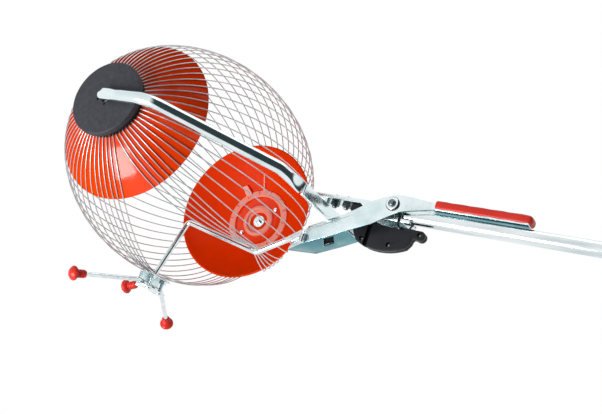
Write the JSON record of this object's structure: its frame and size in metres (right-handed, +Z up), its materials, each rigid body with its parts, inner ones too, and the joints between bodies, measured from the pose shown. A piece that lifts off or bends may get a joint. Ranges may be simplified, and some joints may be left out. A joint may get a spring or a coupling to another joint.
{
  "type": "tennis ball roller collector",
  "caption": "Hand-pushed tennis ball collector: an egg-shaped cage of springy wires that rolls in a tube yoke, with a squeeze lever whose bent rod parts the wires to let balls out.",
  "frame": {"origin": "on the handle tube's axis, 92 mm behind its front end, where a hand holds it beside the lever's grip", "axes": "+X along the cage's spin axis towards the near hub, +Y along the handle away from the cage, +Z up"},
  "size_m": [0.4404, 1.0398, 0.3533],
  "materials": {
    "wire_steel": "bright drawn spring wire",
    "zinc_steel": "bright zinc plating with a bluish tint",
    "orange_plastic": "glossy moulded orange-red",
    "hub_grey_plastic": "fine matt dark grey",
    "black_plastic": "satin black",
    "nylon": "natural white bearing plastic",
    "red_rubber": "smooth satin red-orange dipped rubber",
    "spring_steel": "dark oiled spring wire"
  },
  "bodies": {
    "frame": {"bracket_bolt_1": "zinc_steel", "bracket_bolt_2": "zinc_steel", "bracket_nut_1": "zinc_steel", "bracket_nut_2": "zinc_steel", "far_axle_clip": "zinc_steel", "far_axle_pin": "zinc_steel", "far_axle_washer": "zinc_steel", "far_housing_shell": "black_plastic", "far_pivot_bush": "nylon", "far_pivot_washer": "zinc_steel", "far_yoke_arm": "zinc_steel", "handle_end_cap": "black_plastic", "handle_tube": "zinc_steel", "housing_screw_1": "zinc_steel", "housing_screw_2": "zinc_steel", "housing_screw_3": "zinc_steel", "near_axle_clip": "zinc_steel", "near_axle_pin": "zinc_steel", "near_axle_washer": "zinc_steel", "near_housing_shell": "black_plastic", "near_pivot_bush": "nylon", "near_pivot_washer": "zinc_steel", "near_yoke_arm": "zinc_steel", "pivot_bolt": "zinc_steel", "pivot_nut": "zinc_steel", "return_spring": "spring_steel", "tube_front_plug": "black_plastic", "yoke_bracket": "zinc_steel", "yoke_crossbar": "zinc_steel"},
    "cage": {"cage_wires": "wire_steel", "far_comb_ring": "hub_grey_plastic", "near_hub_cap": "hub_grey_plastic", "near_bowl": "orange_plastic", "near_clamp_ring": "orange_plastic", "near_hub_bush": "nylon", "near_hub_screw_1": "zinc_steel", "near_hub_screw_2": "zinc_steel", "far_hub_cap": "hub_grey_plastic", "far_bowl": "orange_plastic", "far_clamp_ring": "orange_plastic", "far_hub_bush": "nylon", "far_hub_screw_1": "zinc_steel", "far_hub_screw_2": "zinc_steel"},
    "lever": {"lever_channel": "zinc_steel", "lever_grip": "red_rubber", "opener_rod": "zinc_steel", "foot_bracket": "zinc_steel", "foot_cross_rod": "zinc_steel", "foot_front_prong": "zinc_steel", "near_tip": "red_rubber", "far_tip": "red_rubber", "front_tip": "red_rubber", "near_foot_bolt": "zinc_steel", "far_foot_bolt": "zinc_steel", "near_foot_nut": "zinc_steel", "far_foot_nut": "zinc_steel"}
  },
  "joints": [
    {"name": "cage_spin", "type": "hinge", "parent": "frame", "child": "cage", "pos_m": [0, -0.41, 0.0165], "axis": [1, 0, 0], "continuous": true},
    {"name": "lever_pivot", "type": "hinge", "parent": "frame", "child": "lever", "pos_m": [0, -0.102, 0.0065], "axis": [1, 0, 0], "range_deg": [0, 22], "stiffness_Nm_per_rad": 4.5, "springref_deg": 22, "deforming": ["return_spring"]}
  ]
}
